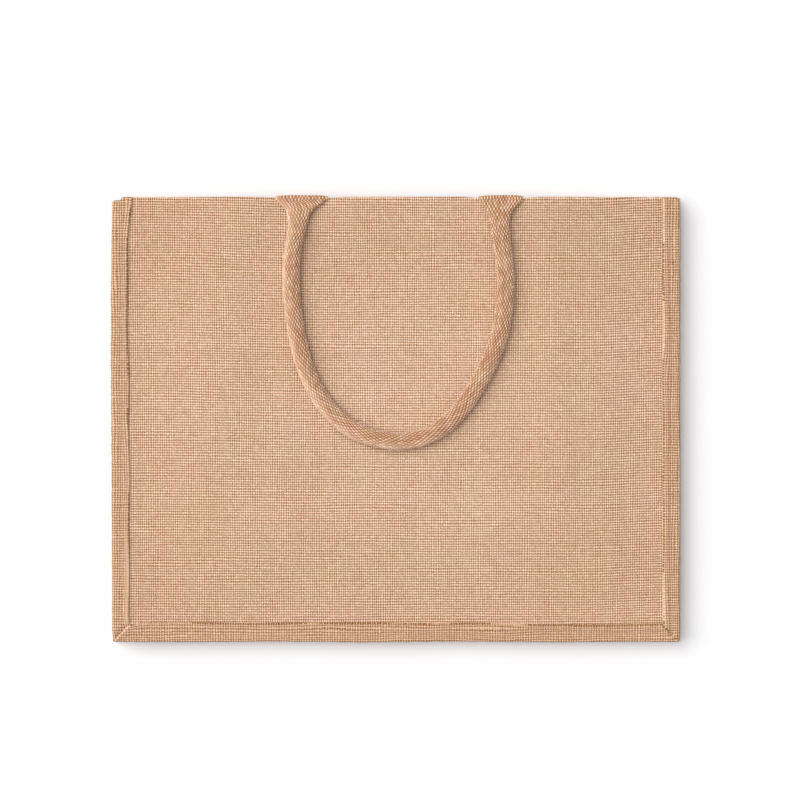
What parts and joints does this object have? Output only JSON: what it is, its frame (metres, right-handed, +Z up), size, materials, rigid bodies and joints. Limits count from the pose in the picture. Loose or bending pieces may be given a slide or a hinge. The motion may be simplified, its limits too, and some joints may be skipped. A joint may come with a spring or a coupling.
{
  "type": "burlap bag",
  "caption": "Flat-folded burlap shopping bag lying on its back, with a hemmed open mouth, an inward-folded gusset, bound seams and a rolled webbing loop handle on each rim.",
  "frame": {"origin": "centre of the bag's box in plan, on the surface the bag lies on", "axes": "+X across the bag to the right as it is looked at, +Y towards the mouth, +Z up out of the front panel"},
  "size_m": [0.42, 0.3303, 0.0327],
  "materials": {
    "burlap": "natural undyed plain-weave jute burlap",
    "webbing": "natural jute webbing, coarser and a little darker"
  },
  "bodies": {
    "root": {"front_panel": "burlap", "back_panel": "burlap", "gusset": "burlap", "front_binding": "burlap", "back_binding": "burlap", "front_handle": "webbing", "back_handle": "webbing"}
  },
  "joints": []
}
